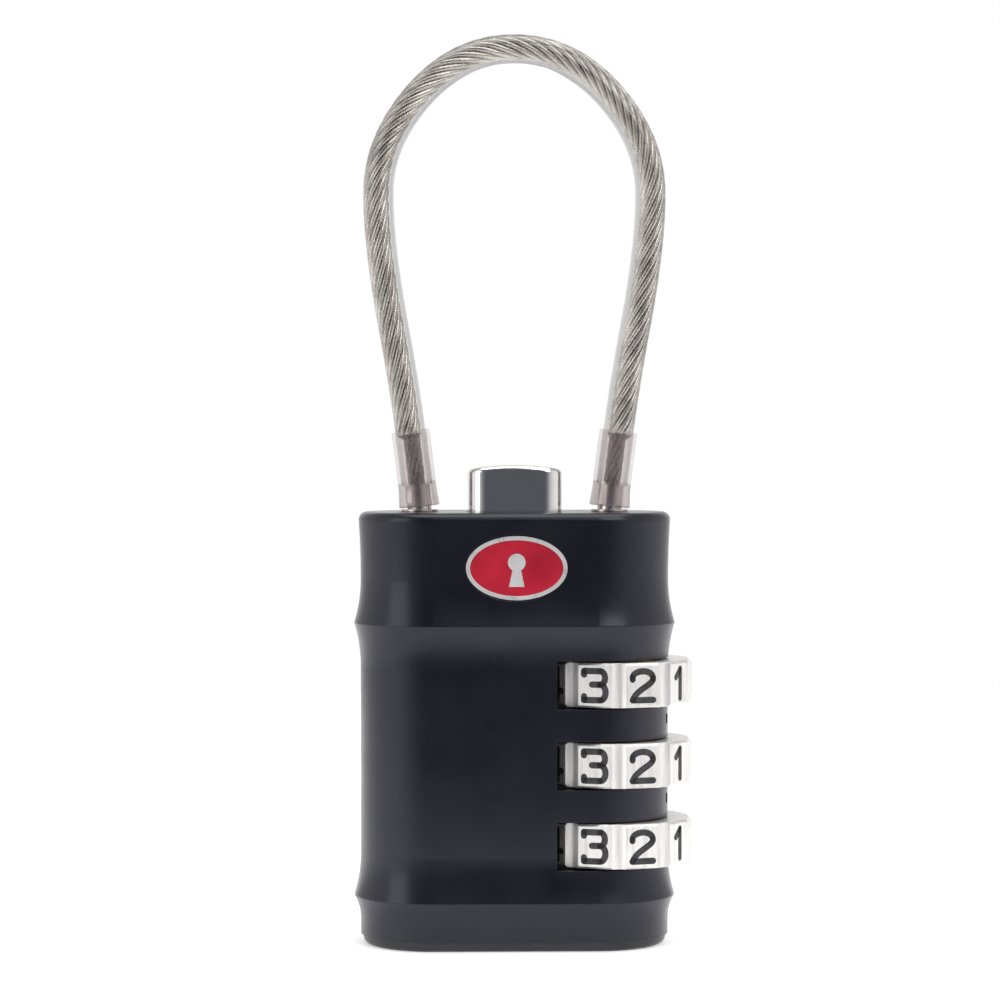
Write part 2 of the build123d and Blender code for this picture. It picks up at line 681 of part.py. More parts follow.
# a hairpin of spring wire: it stands in the groove of the free ferrule, and bows back into the
# relief of the bolt when the ferrule is pushed home
with BuildPart() as catch:
    with BuildLine(Plane.XY.offset(latch_pin_z)) as catch_path:
        FilletPolyline((catch_x + catch_leg, catch_half_width), (catch_x, catch_half_width),
                       (catch_x, -catch_half_width), (catch_x + catch_leg, -catch_half_width),
                       radius=catch_bend)
    with BuildSketch(Plane(origin=catch_path.line @ 0, z_dir=catch_path.line % 0)):
        Circle(catch_radius)
    sweep()
finish(catch, "catch_wire")

stop_x = -0.8  # left face of the two stops of the latch springs
stop_y = cheek_inner + cheek_thickness + 0.95
latch_spring_length = stop_x - latch_pin_x - latch_pin_radius - 2 * fit_gap
with BuildPart() as latch_springs:
    for side in (-1, 1):
        add(coil(latch_spring_radius, latch_spring_wire, latch_spring_length, 7)
            .moved(Location((stop_x - fit_gap, side * stop_y, latch_pin_z), (0, -90, 0))))
finish(latch_springs, "latch_springs")

# ---------------------------------------------------------------- inner frame
frame_bottom = key_length
with BuildPart() as frame:
    with BuildSketch(Plane.XY.offset(frame_bottom)):
        SlotOverall(body_width - 2 * (wall + running_gap), body_depth - 2 * (wall + running_gap))
        with Locations((frame_right, 0)):
            Rectangle(body_width, body_depth, align=(Align.MIN, Align.CENTER), mode=Mode.SUBTRACT)
    extrude(amount=floor_z - frame_bottom)
    # post up to the roof at the left end
    with BuildSketch(Plane.XY.offset(floor_z)):
        SlotOverall(body_width - 2 * (wall + running_gap), body_depth - 2 * (wall + running_gap))
        with Locations((-ferrule_x - ferrule_radius - 1.2, 0)):
            Rectangle(body_width, body_depth, align=(Align.MIN, Align.CENTER), mode=Mode.SUBTRACT)
    extrude(amount=roof_z - floor_z)
    # stops for the latch springs
    with BuildSketch(Plane.XY.offset(floor_z)):
        for side in (-1, 1):
            with Locations((stop_x, side * stop_y)):
                Rectangle(frame_right - stop_x, 1.3, align=(Align.MIN, Align.CENTER))
    extrude(amount=latch_pin_z + 0.7 - floor_z)
    # socket for the tail of the free cable end
    with BuildSketch(Plane.XY.offset(ferrule_bottom - 0.4)):
        with Locations((-ferrule_x, 0)):
            Circle(ferrule_radius + running_gap)
    extrude(amount=floor_z - ferrule_bottom + 0.4, mode=Mode.SUBTRACT)
    # pockets for the two cheeks and, between them, for the latch lug and the key tail
    with BuildSketch(Plane.XY.offset(pocket_bottom)):
        for side in (-1, 1):
            with Locations((plate_left - 0.2, side * (cheek_inner + cheek_thickness / 2))):
                Rectangle(cheek_right - plate_left + 0.4, cheek_thickness + 0.2,
                          align=(Align.MIN, Align.CENTER))
        with Locations((key_x - tail_throw - tail_radius - 0.15, 0)):
            Rectangle(lug_right + latch_travel + 0.2 - key_x + tail_throw + tail_radius + 0.15, 2.8,
                      align=(Align.MIN, Align.CENTER))
    extrude(amount=floor_z - pocket_bottom, mode=Mode.SUBTRACT)
    with BuildSketch(Plane.XY.offset(frame_bottom)):
        with Locations((key_x, 0)):
            Circle(tail_throw + tail_radius + 0.15)
    extrude(amount=pocket_bottom - frame_bottom, mode=Mode.SUBTRACT)
    with BuildSketch(Plane.XY.offset(frame_bottom)):
        with Locations((key_x, 0)):
            Circle(key_radius - 0.7)
    extrude(amount=1.3, mode=Mode.SUBTRACT)
finish(frame, "inner_frame")

# ---------------------------------------------------------------- key cylinder
flange_bottom = spigot_top + fit_gap
wafer_first = 3.6
with BuildPart() as cylinder:
    with BuildSketch(Plane.XY.offset(key_recess)):
        with Locations((key_x, 0)):
            Circle(key_radius)
    extrude(amount=key_length - key_recess)
    with BuildSketch(Plane.XY.offset(flange_bottom)):
        with Locations((key_x, 0)):
            Circle(key_flange_radius)
    extrude(amount=1.0)
    with BuildSketch(Plane.XY.offset(key_recess)):
        with Locations((key_x, 0)):
            Circle(plug_radius - 0.3)
    extrude(amount=1, mode=Mode.SUBTRACT)
    with BuildSketch(Plane.XY.offset(key_recess + 0.8)):
        with Locations((key_x, 0)):
            Circle(plug_radius + plug_gap)
    extrude(amount=key_length, mode=Mode.SUBTRACT)
    # grooves that the wafers stand in while there is no key
    with BuildSketch(Plane.XY.offset(wafer_first - 0.6)):
        with Locations((key_x, 0)):
            Rectangle(wafer_width + 0.2, 2 * (plug_radius + 0.75))
    extrude(amount=wafer_pitch * (wafer_count - 1) + wafer_thickness + 1.2, mode=Mode.SUBTRACT)
finish(cylinder, "key_cylinder")

plug_top = key_length + 1.0
clip_z = key_length + 0.05
with BuildPart() as plug:
    with BuildSketch(Plane.XY.offset(key_recess + 0.1)):
        with Locations((key_x, 0)):
            Circle(plug_radius - 0.3 - plug_gap)
    extrude(amount=1)
    with BuildSketch(Plane.XY.offset(key_recess + 0.85)):
        with Locations((key_x, 0)):
            Circle(plug_radius)
    extrude(amount=plug_top - key_recess - 0.85)
    with BuildSketch(Plane.XY.offset(clip_z)):
        with Locations((key_x, 0)):
            Circle(plug_radius + 1)
            Circle(plug_radius - 0.5, mode=Mode.SUBTRACT)
    extrude(amount=0.4, mode=Mode.SUBTRACT)
    with BuildSketch():
        with Locations((key_x, 0)):
            Rectangle(keyway_width, keyway_depth)
    extrude(amount=key_length - 2.5, mode=Mode.SUBTRACT)
    for k in range(wafer_count):
        with BuildSketch(Plane.XY.offset(wafer_first + wafer_pitch * k)):
            with Locations((key_x, 0)):
                Rectangle(wafer_width, wafer_length)
        extrude(amount=wafer_thickness, mode=Mode.SUBTRACT)
    tail_x = key_x - tail_throw * sin(radians(45))
    tail_y = -tail_throw * cos(radians(45))
    with BuildSketch(Plane.XY.offset(key_length - 1.8)):
        with Locations((tail_x, tail_y)):
            Circle(tail_radius)
    extrude(amount=4, mode=Mode.SUBTRACT)
finish(plug, "key_plug")

with BuildPart() as wafers:
    for k in range(wafer_count):
        with BuildSketch(Plane.XY.offset(wafer_first + wafer_pitch * k)):
            with Locations((key_x, 0)):
                Rectangle(wafer_width, wafer_length)
                Rectangle(keyway_width, keyway_depth - 0.3 - 0.25 * (k % 3), mode=Mode.SUBTRACT)
        extrude(amount=wafer_thickness)
finish(wafers, "key_wafers")

with BuildPart() as clip:
    with BuildSketch(Plane.XY.offset(clip_z)):
        with Locations((key_x, 0)):
            Circle(plug_radius + 0.6)
            Circle(plug_radius - 0.5, mode=Mode.SUBTRACT)
            Rectangle(plug_radius + 1, 2.4, align=(Align.MIN, Align.CENTER), mode=Mode.SUBTRACT)
    extrude(amount=0.4)
finish(clip, "plug_clip")

with BuildPart() as tail:
    with BuildSketch(Plane.XY.offset(key_length - 1.8)):
        with Locations((tail_x, tail_y)):
            Circle(tail_radius)
    extrude(amount=latch_bottom - 0.25 - key_length + 1.8)
finish(tail, "key_tail")

# ---------------------------------------------------------------- ferrules
def lean_plane(side, along):
    """The plane across a leaning cable end, at a length above the bend."""
    origin = (side * (ferrule_x + along * sin(lean)), 0, knee_z + along * cos(lean))
    return Plane(origin=origin, x_dir=(cos(lean), 0, -side * sin(lean)),
                 z_dir=(side * sin(lean), 0, cos(lean)))


for side, name in ((-1, "free"), (1, "fixed")):
    bottom = ferrule_bottom if side < 0 else socket_roof_z + running_gap
    neck = ferrule_neck if side < 0 else fixed_neck
    low = groove_bottom if side < 0 else dowel_z - dowel_radius - 0.1
    high = groove_top if side < 0 else dowel_z + dowel_radius + 0.1
    gap = 0.02 if side < 0 else 0
    with BuildPart() as ferrule:
        with BuildSketch(Plane.XY.offset(bottom)):
            with Locations((side * ferrule_x, 0)):
                Circle(ferrule_radius)
        extrude(amount=body_height + 0.05 - bottom)
        chamfer(ferrule.edges().group_by(Axis.Z)[0], length=0.35)
        with BuildSketch(Plane.XY.offset(low)):
            with Locations((side * ferrule_x, 0)):
                Circle(ferrule_radius + 0.5)
                Circle(neck, mode=Mode.SUBTRACT)
        extrude(amount=high - low, mode=Mode.SUBTRACT)
        with BuildSketch(Plane.XY.offset(body_height + 0.02)):
            with Locations((side * ferrule_x, 0)):
                Circle(collar_radius)
        extrude(amount=collar_thickness)
        with BuildSketch(lean_plane(side, -0.5)):
            Circle(barrel_radius)
        extrude(amount=barrel_length + 0.5)
        with BuildSketch(lean_plane(side, -rope_depth)):
            Circle(rope_radius + gap)
        extrude(amount=rope_depth + barrel_length + 0.5, mode=Mode.SUBTRACT)
    finish(ferrule, f"{name}_ferrule")

    with BuildPart() as boot:
        with BuildSketch(lean_plane(side, 0.12)):
            Circle(cable_sleeve_foot)
        with BuildSketch(lean_plane(side, barrel_length)):
            Circle(cable_sleeve_radius)
        loft()
        with BuildSketch(lean_plane(side, barrel_length)):
            Circle(cable_sleeve_radius)
        extrude(amount=cable_sleeve_length - barrel_length)
        with BuildSketch(lean_plane(side, 0.12)):
            Circle(barrel_radius + free_gap)
        extrude(amount=cable_sleeve_length, mode=Mode.SUBTRACT)
        with BuildSketch(lean_plane(side, barrel_length)):
            Circle(cable_radius + cable_sleeve_gap)
        extrude(amount=cable_sleeve_length, mode=Mode.SUBTRACT)
    finish(boot, f"{name}_sleeve")

with BuildPart() as dowel:
    with BuildSketch(Plane.XZ.offset(1.85)):
        with Locations((dowel_x, dowel_z)):
            Circle(dowel_radius)
    extrude(amount=-(end_radius + 1.65))
finish(dowel, "ferrule_dowel")

# ---------------------------------------------------------------- cable
# Its route, from the fixed end over the loop to the free end, as chosen points (x, z). The first
# and last points lie on the leaning axes of the ferrules.
leg_turn = 8.6  # length up the leaning axis at which each leg turns outwards
loop = [(13.5, 69.2), (13.5, 79.99), (5.59, 87.9), (-5.59, 87.9), (-13.5, 79.99), (-13.5, 69.2)]


def on_axis(side, along):
    return (side * (ferrule_x + along * sin(lean)), knee_z + along * cos(lean))


def route(start, end):
    places = [on_axis(1, start), on_axis(1, leg_turn)] + loop + [on_axis(-1, leg_turn), on_axis(-1, end)]
    return [Vector(x, 0, z) for x, z in places]


def bend_radii(points):
    """Arc radii at the inner points of a route, each as large as its two runs leave room for."""
    radii = []
    for before, here, after in zip(points, points[1:], points[2:]):
        turn = (here - before).get_angle(after - here)
        run = min((here - before).length, (after - here).length)
        radii.append(0.45 * run / tan(radians(turn / 2)))
    return radii


rope_route = route(-rope_depth, -rope_depth)
jacket_route = route(barrel_length, barrel_length + free_gap)
radii = bend_radii(rope_route)
print("cable bend radii:", [round(r, 1) for r in radii])

with BuildPart() as rope:
    with BuildLine() as rope_path:
        FilletPolyline(*rope_route, radius=radii)
    with BuildSketch(Plane(origin=rope_path.line @ 0, z_dir=rope_path.line % 0)):
        Circle(rope_radius)
    sweep()
finish(rope, "cable_rope")

with BuildPart() as jacket:
    with BuildLine() as jacket_path:
        FilletPolyline(*jacket_route, radius=radii)
    with BuildSketch(Plane(origin=jacket_path.line @ 0, z_dir=jacket_path.line % 0)):
        Circle(cable_radius)
        Circle(rope_radius, mode=Mode.SUBTRACT)
    sweep()
finish(jacket, "cable_jacket")
for piece, path, area in ((rope, rope_path, pi * rope_radius**2),
                          (jacket, jacket_path, pi * (cable_radius**2 - rope_radius**2))):
    length = sum(edge.length for edge in path.edges())
    print("cable length:", round(length, 2), "volume against section x length:",
          round(piece.part.volume / (area * length), 4))
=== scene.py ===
import math

import bmesh
import bpy
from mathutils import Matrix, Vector


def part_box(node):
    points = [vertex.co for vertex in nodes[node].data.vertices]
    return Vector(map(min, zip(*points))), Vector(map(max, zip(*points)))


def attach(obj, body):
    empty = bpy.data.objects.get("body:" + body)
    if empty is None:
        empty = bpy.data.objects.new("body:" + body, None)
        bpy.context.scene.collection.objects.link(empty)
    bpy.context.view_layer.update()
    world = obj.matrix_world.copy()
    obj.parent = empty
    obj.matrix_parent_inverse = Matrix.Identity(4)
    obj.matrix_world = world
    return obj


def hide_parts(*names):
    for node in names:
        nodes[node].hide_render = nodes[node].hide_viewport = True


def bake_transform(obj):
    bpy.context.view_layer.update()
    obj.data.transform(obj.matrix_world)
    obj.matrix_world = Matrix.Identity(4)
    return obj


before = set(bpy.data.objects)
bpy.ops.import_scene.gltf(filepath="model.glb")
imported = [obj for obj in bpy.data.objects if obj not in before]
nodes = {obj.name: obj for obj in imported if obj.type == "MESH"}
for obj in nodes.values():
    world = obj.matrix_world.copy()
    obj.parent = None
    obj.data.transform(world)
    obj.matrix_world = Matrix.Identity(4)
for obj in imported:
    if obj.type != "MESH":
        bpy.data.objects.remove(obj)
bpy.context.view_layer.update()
print("frame loaded:", len(nodes), "nodes")

mm = 0.001


# camera: level with the lower loop, slightly to the left of the front
cameraSet = {
    "place": (-9.60, -314.30, 50.40),
    "aim": (-1.43, 0.0, 43.62),
    "lens": 114.9,
}


def makeCamera(values):
    data = bpy.data.cameras.new("lockCamera")
    data.sensor_width = 36
    data.lens = values["lens"]
    data.clip_start = 0.01
    data.clip_end = 20
    camera = bpy.data.objects.new("lockCamera", data)
    bpy.context.scene.collection.objects.link(camera)
    place = Vector(values["place"]) * mm
    aim = Vector(values["aim"]) * mm
    camera.location = place
    camera.rotation_euler = (aim - place).to_track_quat("-Z", "Y").to_euler()
    bpy.context.scene.camera = camera


makeCamera(cameraSet)


# materials
def newMaterial(name, **inputs):
    material = bpy.data.materials.new(name)
    material.use_nodes = True
    shader = material.node_tree.nodes["Principled BSDF"]
    for key, value in inputs.items():
        shader.inputs[key.replace("_", " ")].default_value = value
    return material


def node(material, kind, **settings):
    made = material.node_tree.nodes.new(kind)
    for key, value in settings.items():
        if hasattr(made, key):
            setattr(made, key, value)
        else:
            made.inputs[key.replace("_", " ")].default_value = value
    return made


def wire(material, outNode, outName, inNode, inName):
    material.node_tree.links.new(outNode.outputs[outName], inNode.inputs[inName])


def shaderOf(material):
    return material.node_tree.nodes["Principled BSDF"]


# noise over the surface; stretch is its size along x, y and z, so fine streaks are possible
def noiseOver(material, scale, detail, stretch=(1, 1, 1)):
    place = node(material, "ShaderNodeTexCoord")
    mapping = node(material, "ShaderNodeMapping")
    mapping.inputs["Scale"].default_value = stretch
    noise = node(material, "ShaderNodeTexNoise", Scale=scale, Detail=detail)
    wire(material, place, "Object", mapping, "Vector")
    wire(material, mapping, "Vector", noise, "Vector")
    return noise


def noiseInto(material, scale, detail, lowValue, highValue, socket, stretch=(1, 1, 1)):
    noise = noiseOver(material, scale, detail, stretch)
    spread = node(material, "ShaderNodeMapRange")
    spread.inputs["From Min"].default_value = 0.35
    spread.inputs["From Max"].default_value = 0.65
    spread.inputs["To Min"].default_value = lowValue
    spread.inputs["To Max"].default_value = highValue
    wire(material, noise, "Fac", spread, "Value")
    wire(material, spread, "Result", shaderOf(material), socket)


# a base colour that wanders between two colours
def colourInto(material, scale, detail, first, second, low=0.35, high=0.65, stretch=(1, 1, 1)):
    noise = noiseOver(material, scale, detail, stretch)
    ramp = node(material, "ShaderNodeValToRGB")
    stops = ramp.color_ramp.elements
    stops[0].position, stops[0].color = low, (*first, 1)
    stops[1].position, stops[1].color = high, (*second, 1)
    wire(material, noise, "Fac", ramp, "Fac")
    wire(material, ramp, "Color", shaderOf(material), "Base Color")


# softened edges of a given radius, and fine unevenness over them
def edgesAndBump(material, edge, scale, strength, depth, stretch=(1, 1, 1)):
    noise = noiseOver(material, scale, 3.0, stretch)
    bump = node(material, "ShaderNodeBump", Strength=strength, Distance=depth)
    wire(material, noise, "Fac", bump, "Height")
    if edge:
        bevel = node(material, "ShaderNodeBevel", samples=4, Radius=edge)
        wire(material, bevel, "Normal", bump, "Normal")
    wire(material, bump, "Normal", shaderOf(material), "Normal")


paint = {
    "base": (0.0028, 0.0031, 0.0058),
    "dust": (0.020, 0.021, 0.024),
    "roughness": (0.27, 0.35),
    "coat": 0.25,
    "coatRoughness": 0.2,
    "gleam": (0.80, 0.80, 1.0, 1),  # its reflections are a little blue
    "shine": 0.42,
    "edge": 0.15,
}


def paintMaterial(values):
    material = newMaterial("blackEnamel", Coat_Weight=values["coat"], Coat_Roughness=values["coatRoughness"],
                           Specular_Tint=values["gleam"], Specular_IOR_Level=values["shine"])
    colourInto(material, 2600, 2.0, values["base"], values["dust"], 0.74, 0.80)  # a few specks of dust
    noiseInto(material, 240, 3.0, *values["roughness"], "Roughness")
    edgesAndBump(material, values["edge"] * mm, 850, 0.05, 0.02 * mm)
    return material


def metalMaterial(name, colour, roughness, edge=0.06, shade=0.85, metal=1.0):
    material = newMaterial(name, Metallic=metal)
    colourInto(material, 500, 3.0, tuple(c * shade for c in colour), colour)
    noiseInto(material, 900, 4.0, roughness * 0.75, roughness * 1.3, "Roughness")
    edgesAndBump(material, edge * mm, 1400, 0.06, 0.01 * mm)
    return material


dialMetal = {
    "colour": (0.86, 0.84, 0.815),
    "streak": (0.73, 0.70, 0.675),
    "metal": 0.72,
    "roughness": (0.32, 0.46),
    "edge": 0.10,
    "grain": (1.0, 1.0, 0.07),  # polishing marks run along the dial's axis
}


def dialMaterial(values):
    material = newMaterial("dialMetal", Metallic=values["metal"])
    colourInto(material, 2600, 3.0, values["streak"], values["colour"], 0.32, 0.52, values["grain"])
    noiseInto(material, 3200, 3.0, *values["roughness"], "Roughness", values["grain"])
    edgesAndBump(material, values["edge"] * mm, 3000, 0.12, 0.01 * mm, values["grain"])
    return material


def plasticMaterial(name, first, second, roughness, scale=400, **inputs):
    material = newMaterial(name, **inputs)
    colourInto(material, scale, 2.0, first, second)
    noiseInto(material, scale * 1.4, 3.0, roughness * 0.85, roughness * 1.2, "Roughness")
    edgesAndBump(material, 0.05 * mm, 1200, 0.05, 0.01 * mm)
    return material


jacketFinish = {"colour": (0.865, 0.855, 0.84, 1), "bending": 1.5, "roughness": (0.02, 0.07)}


def jacketMaterial(values):
    material = newMaterial("clearVinyl", Base_Color=values["colour"], IOR=values["bending"],
                           Transmission_Weight=1.0)
    noiseInto(material, 600, 2.0, *values["roughness"], "Roughness")
    edgesAndBump(material, 0, 500, 0.05, 0.02 * mm)
    return material


ropeFinish = {"dark": (0.44, 0.412, 0.382), "light": (0.67, 0.643, 0.602), "roughness": (0.20, 0.32)}
# painted shade: the darker colour of the rope inside the boots
bootShadeFinish = {"dark": (0.15, 0.115, 0.108), "light": (0.24, 0.19, 0.178), "roughness": (0.24, 0.36)}


def ropeMaterial(name, values):
    material = newMaterial(name, Metallic=1.0)
    colourInto(material, 420, 2.0, values["dark"], values["light"])
    noiseInto(material, 900, 2.0, *values["roughness"], "Roughness")
    return material


boots = {
    "haze": (0.84, 0.78, 0.77),
    "clear": (0.985, 0.972, 0.969),
    "thin": 0.05,  # how milky the wall is seen square on
    "edgeOn": 0.42,  # and towards its outline
    "metal": 0.0,
}
# the lower part grips the collar, so the metal fills its width
bootGrip = {
    "haze": (0.62, 0.555, 0.54),
    "clear": (0.95, 0.925, 0.92),
    "thin": 0.36,
    "edgeOn": 0.66,
    "metal": 0.75,
}


# a thin milky wall: mostly see-through, with a gloss, and milkier towards the outline
def bootMaterial(name, values):
    material = newMaterial(name, Metallic=values["metal"], Specular_IOR_Level=0.6)
    colourInto(material, 300, 2.0, tuple(c * 0.93 for c in values["haze"]), values["haze"])
    noiseInto(material, 800, 2.0, 0.10, 0.2, "Roughness")
    edgesAndBump(material, 0, 900, 0.08, 0.02 * mm)
    see = node(material, "ShaderNodeBsdfTransparent", Color=(*values["clear"], 1))
    facing = node(material, "ShaderNodeLayerWeight", Blend=0.35)
    spread = node(material, "ShaderNodeMapRange")
    spread.inputs["To Min"].default_value = values["thin"]
    spread.inputs["To Max"].default_value = values["edgeOn"]
    mix = node(material, "ShaderNodeMixShader")
    out = material.node_tree.nodes["Material Output"]
    wire(material, facing, "Facing", spread, "Value")
    wire(material, spread, "Result", mix, "Fac")
    material.node_tree.links.new(see.outputs["BSDF"], mix.inputs[1])
    material.node_tree.links.new(shaderOf(material).outputs["BSDF"], mix.inputs[2])
    wire(material, mix, "Shader", out, "Surface")
    return material


materials = {
    "enamel": paintMaterial(paint),
    "cover": plasticMaterial("blackCover", (0.010, 0.010, 0.013), (0.016, 0.016, 0.019), 0.3),
    "chrome": metalMaterial("brightChrome", (0.84, 0.83, 0.82), 0.10, 0.10, 0.96),
    "collar": metalMaterial("collarChrome", (0.60, 0.54, 0.52), 0.14, 0.06, 0.85),
    "dialMetal": dialMaterial(dialMetal),
    "steel": metalMaterial("plainSteel", (0.45, 0.44, 0.43), 0.3),
    "brass": metalMaterial("machinedBrass", (0.72, 0.52, 0.25), 0.25),
    "acetal": plasticMaterial("whiteAcetal", (0.66, 0.66, 0.61), (0.72, 0.72, 0.68), 0.5),
    "rope": ropeMaterial("ropeWire", ropeFinish),
    # the rope under the boots, darker with painted shade
    "crimpedAndShaded": ropeMaterial("bootShadedWire", bootShadeFinish),
    "vinyl": jacketMaterial(jacketFinish),
    "boot": bootMaterial("milkyBoot", boots),
    "bootGrip": bootMaterial("grippedBoot", bootGrip),
    "digit": plasticMaterial("digitPaint", (0.020, 0.020, 0.022), (0.045, 0.044, 0.047), 0.5, 1800),
    "silver": metalMaterial("badgeSilver", (0.84, 0.82, 0.81), 0.32, 0.04, 0.9, 0.55),
    # the red wanders at random between a darker and a lighter tone: painted shade and painted highlight for
    # the badge's facets
    "red": plasticMaterial("redEnamel", (0.36, 0.010, 0.024), (0.58, 0.020, 0.045), 0.18, 160,
                           Coat_Weight=0.6),
}
nodeFinish = {
    "housing_shell": "enamel", "bottom_cover": "cover", "badge_plate": "silver", "badge_enamel": "red",
    "inner_frame": "acetal", "reset_pusher": "acetal", "button": "chrome", "fixed_ferrule": "collar",
    "free_ferrule": "collar", "dial_top": "dialMetal", "dial_middle": "dialMetal", "dial_bottom": "dialMetal",
    "key_cylinder": "brass", "key_plug": "brass", "key_wafers": "brass", "leaf_rivets": "brass",
    "sleeve_top": "brass", "sleeve_middle": "brass", "sleeve_bottom": "brass",
}
for name, obj in nodes.items():
    obj.data.materials.clear()
    obj.data.materials.append(materials[nodeFinish.get(name, "steel")])
print("materials on", len(nodes), "nodes")


# cable: a twisted wire rope inside a clear jacket, on one smooth route
cable = {
    "route": [(9.253, 41.855), (10.186, 51.409), (13.5, 69.2), (13.25, 79.1), (5.4, 87.9),
              (-5.4, 87.9), (-13.25, 79.1), (-13.5, 69.2), (-10.186, 51.409), (-9.253, 41.855)],
    "jacketRadius": 1.5,
    "jacketEnd": 3.3,  # where the jacket starts along the route
    "coreRadius": 0.42,
    "strandCentre": 0.618,
    "strandRadius": 0.236,
    "strands": 8,
    "lay": 11.6,
    "wires": 6,
    "wireLay": 3.4,
    "sides": 18,
    "step": 0.12,  # between the rope's rings
    "quickStep": 0.3,
    "wireRelief": 0.045,
    "jacketStep": 0.5,
    "jacketSides": 48,
    "bootTop": 8.4,  # the boots cover the rope up to here
    "crimpedAndShaded": 0.66,  # and squeeze it to this share of its size
    "crimpOver": 0.6,  # over this length
    "ropeShift": -0.167,  # the rope lies towards the outer side of the loop
}


# points of the smooth spline through the route
def readRoute(points):
    data = bpy.data.curves.new("routeLine", "CURVE")
    data.dimensions = "3D"
    data.resolution_u = 60
    spline = data.splines.new("NURBS")
    spline.points.add(len(points) - 1)
    for control, (x, z) in zip(spline.points, points):
        control.co = (x * mm, 0, z * mm, 1)
    spline.order_u = 3
    spline.use_endpoint_u = True
    obj = bpy.data.objects.new("routeLine", data)
    bpy.context.scene.collection.objects.link(obj)
    bpy.context.view_layer.update()
    mesh = bpy.data.meshes.new_from_object(obj)
    line = [v.co.copy() for v in mesh.vertices]
    bpy.data.objects.remove(obj)
    return line


# evenly spaced points and tangents along a line, less a length at each end
def spaced(line, step, start=0.0, end=0.0):
    lengths = [0.0]
    for a, b in zip(line, line[1:]):
        lengths.append(lengths[-1] + (b - a).length)
    total = lengths[-1] - start - end
    count = max(2, round(total / step))
    out = []
    at = 0
    for k in range(count + 1):
        s = start + total * k / count
        while at < len(line) - 2 and lengths[at + 1] < s:
            at += 1
        t = (s - lengths[at]) / (lengths[at + 1] - lengths[at])
        before = line[max(0, at - 1)]
        after = line[min(len(line) - 1, at + 2)]
        near = (line[at + 1] - line[at]).normalized()
        tangent = (near + (after - before).normalized()).normalized()
        out.append((line[at].lerp(line[at + 1], t), tangent, s))
    return out


def frameAt(tangent):
    inward = tangent.cross(Vector((0, 1, 0))).normalized()  # towards the middle of the loop
    return inward, tangent.cross(inward)


def meshObject(name, verts, faces, material, smooth=True):
    mesh = bpy.data.meshes.new(name)
    mesh.from_pydata([tuple(v) for v in verts], [], faces)
    mesh.update()
    obj = bpy.data.objects.new(name, mesh)
    bpy.context.scene.collection.objects.link(obj)
    for polygon in mesh.polygons:
        polygon.use_smooth = smooth
    obj.data.materials.append(material)
    return obj


# faces between rings of equal size; the ends are filled unless the rings close on themselves
def ringSkin(rings, closedLoop=False):
    size = len(rings[0])
    verts = [v for ring in rings for v in ring]
    faces = []
    count = len(rings)
    for i in range(count if closedLoop else count - 1):
        j = (i + 1) % count
        for k in range(size):
            m = (k + 1) % size
            faces.append((i * size + k, i * size + m, j * size + m, j * size + k))
    if not closedLoop:
        faces.append(tuple(range(size))[::-1])
        faces.append(tuple((count - 1) * size + k for k in range(size)))
    return verts, faces


# faces from the rings that chosen() picks take a second material
def paintRings(obj, perRing, ringCount, material, chosen):
    obj.data.materials.append(material)
    for polygon in obj.data.polygons:
        ring = polygon.index // perRing
        if ring < ringCount and chosen(ring):
            polygon.material_index = 1


def jacketTube(stations, radius, sides):
    rings = []
    for place, tangent, s in stations:
        u, v = frameAt(tangent)
        rings.append([place + (u * math.cos(a) + v * math.sin(a)) * radius
                      for a in (2 * math.pi * k / sides for k in range(sides))])
    return ringSkin(rings)


# one strand: a bundle of wires that turns as it winds round the rope's middle
def strandTube(stations, values, index):
    rings = []
    centre = values["strandCentre"] * mm if index >= 0 else 0.0
    radius = values["strandRadius"] if index >= 0 else values["coreRadius"]
    squeezed, whole = values["crimpedAndShaded"], stations[-1][2]
    relief = values["wireRelief"]
    for place, tangent, s in stations:
        inside = min(1, max(0, (values["bootTop"] * mm - min(s, whole - s)) / (values["crimpOver"] * mm)))
        size = 1 - (1 - squeezed) * inside * inside * (3 - 2 * inside)
        shift = values["ropeShift"] * mm * (1 - inside)
        u, v = frameAt(tangent)
        turn = 2 * math.pi * (s / (values["lay"] * mm) + index / values["strands"])
        side = u * math.cos(turn) + v * math.sin(turn)
        slope = 2 * math.pi * centre / (values["lay"] * mm)
        along = (tangent + (u * -math.sin(turn) + v * math.cos(turn)) * slope).normalized()
        cross = along.cross(side).normalized()
        middle = place + u * shift + side * centre * size
        twist = -2 * math.pi * s / (values["wireLay"] * mm)
        ring = []
        for k in range(values["sides"]):
            a = 2 * math.pi * k / values["sides"]
            ripple = abs(math.cos(values["wires"] / 2 * (a + twist)))
            r = radius * size * mm * (1 - relief + relief * ripple)
            ring.append(middle + (side * math.cos(a) + cross * math.sin(a)) * r)
        rings.append(ring)
    return rings


def joinMeshes(parts):
    verts, faces = [], []
    for v, f in parts:
        base = len(verts)
        verts += v
        faces += [tuple(i + base for i in face) for face in f]
    return verts, faces


